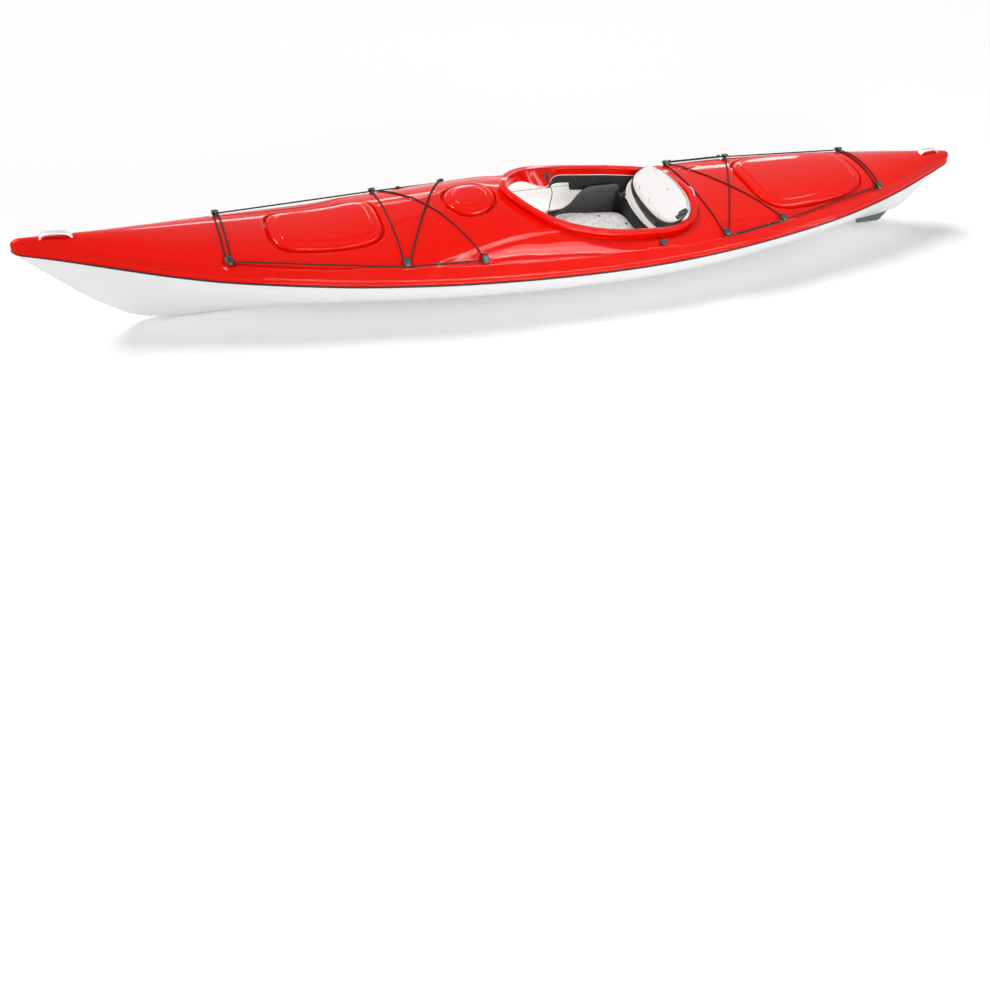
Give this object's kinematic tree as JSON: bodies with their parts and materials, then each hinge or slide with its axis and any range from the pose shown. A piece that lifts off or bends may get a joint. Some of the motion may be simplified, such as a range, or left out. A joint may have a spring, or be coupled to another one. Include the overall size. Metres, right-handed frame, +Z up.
{
  "type": "sit-in fishing kayak",
  "caption": "Sit-in kayak with a white V-bottomed hull, red deck with sealed hatches, cockpit with padded seat, elastic deck lines and a drop skeg.",
  "frame": {"origin": "middle of the length and the beam, on the flat strip of the keel", "axes": "+X towards the stern, +Y towards starboard, +Z up"},
  "size_m": [4.2758, 0.6802, 0.4293],
  "materials": {
    "hull_plastic": "glossy white thermoformed sheet",
    "deck_plastic": "glossy orange-red thermoformed sheet",
    "trim_rubber": "matt black",
    "black_plastic": "moulded black",
    "fitting_plastic": "moulded dark grey",
    "handle_plastic": "silver-white moulded",
    "skeg_plastic": "moulded grey-green",
    "seat_plastic": "moulded off-white",
    "cushion_cloth": "white quilted cloth over foam",
    "foam": "black closed-cell foam with cloth face",
    "cord": "black braided elastic cord",
    "steel": "plain"
  },
  "bodies": {
    "hull": {"hull_shell": "hull_plastic", "deck_shell": "deck_plastic", "cockpit_coaming": "deck_plastic", "seam_strip": "trim_rubber", "bow_bulkhead": "hull_plastic", "stern_bulkhead": "hull_plastic", "day_pod": "black_plastic", "bow_handle": "handle_plastic", "stern_handle": "handle_plastic", "skeg_box": "black_plastic", "skeg_pivot_pin": "steel", "skeg_cable": "black_plastic", "skeg_slider_track": "black_plastic", "seat_pan": "seat_plastic", "seat_cushion": "cushion_cloth", "flange_cleat": "black_plastic", "seat_lift_cord": "cord", "bow_hatch_rim": "deck_plastic", "bow_hatch_seal": "trim_rubber", "day_hatch_rim": "deck_plastic", "day_hatch_seal": "trim_rubber", "stern_hatch_rim": "deck_plastic", "stern_hatch_seal": "trim_rubber", "deck_fitting_toggle_port": "fitting_plastic", "deck_fitting_toggle_starboard": "fitting_plastic", "deck_fitting_fore_port": "fitting_plastic", "deck_fitting_fore_starboard": "fitting_plastic", "deck_fitting_mid_port": "fitting_plastic", "deck_fitting_mid_starboard": "fitting_plastic", "deck_fitting_rear_port": "fitting_plastic", "deck_fitting_rear_starboard": "fitting_plastic", "deck_fitting_aft_port": "fitting_plastic", "deck_fitting_aft_starboard": "fitting_plastic", "deck_fitting_tail_port": "fitting_plastic", "deck_fitting_tail_starboard": "fitting_plastic", "bow_cross_line": "cord", "stern_cross_line": "cord", "bow_net_line": "cord", "stern_net_line": "cord", "bow_side_line_port": "cord", "bow_side_line_starboard": "cord", "stern_side_line_port": "cord", "stern_side_line_starboard": "cord", "hip_pad_port": "foam", "backrest_pin_port": "steel", "foot_rail_port": "black_plastic", "hip_pad_starboard": "foam", "backrest_pin_starboard": "steel", "foot_rail_starboard": "black_plastic"},
    "bow_lid": {"bow_hatch_lid": "deck_plastic"},
    "day_lid": {"day_hatch_lid": "deck_plastic"},
    "stern_lid": {"stern_hatch_lid": "deck_plastic"},
    "skeg": {"skeg_blade": "skeg_plastic"},
    "knob": {"skeg_knob": "black_plastic"},
    "backrest": {"backrest_shell": "seat_plastic", "backrest_pad": "cushion_cloth"},
    "pedal_port": {"foot_pedal_port": "fitting_plastic"},
    "pedal_starboard": {"foot_pedal_starboard": "fitting_plastic"}
  },
  "joints": [
    {"name": "bow_lid_lift", "type": "slide", "parent": "hull", "child": "bow_lid", "axis": [0, 0, 1], "range_m": [0, 0.04]},
    {"name": "day_lid_lift", "type": "slide", "parent": "hull", "child": "day_lid", "axis": [0, 0, 1], "range_m": [0, 0.04]},
    {"name": "stern_lid_lift", "type": "slide", "parent": "hull", "child": "stern_lid", "axis": [0, 0, 1], "range_m": [0, 0.04]},
    {"name": "knob_slide", "type": "slide", "parent": "hull", "child": "knob", "axis": [0.998, 0.0218, -0.0586], "range_m": [-0.03, 0.03]},
    {"name": "skeg_swing", "type": "hinge", "parent": "hull", "child": "skeg", "pos_m": [1.664, 0, 0.122], "axis": [0, 1, 0], "range_deg": [-25, 25]},
    {"name": "backrest_tilt", "type": "hinge", "parent": "hull", "child": "backrest", "pos_m": [0.404, 0, 0.212], "axis": [0, 1, 0], "range_deg": [-50, 0]},
    {"name": "pedal_port_slide", "type": "slide", "parent": "hull", "child": "pedal_port", "axis": [0.9938, -0.1111, 0], "range_m": [-0.06, 0.06]},
    {"name": "pedal_starboard_slide", "type": "slide", "parent": "hull", "child": "pedal_starboard", "axis": [0.9938, 0.1111, 0], "range_m": [-0.06, 0.06]}
  ],
  "couplings": [
    {"joint": "skeg_swing", "follows": "knob_slide", "rad_per_m": 14.5}
  ]
}
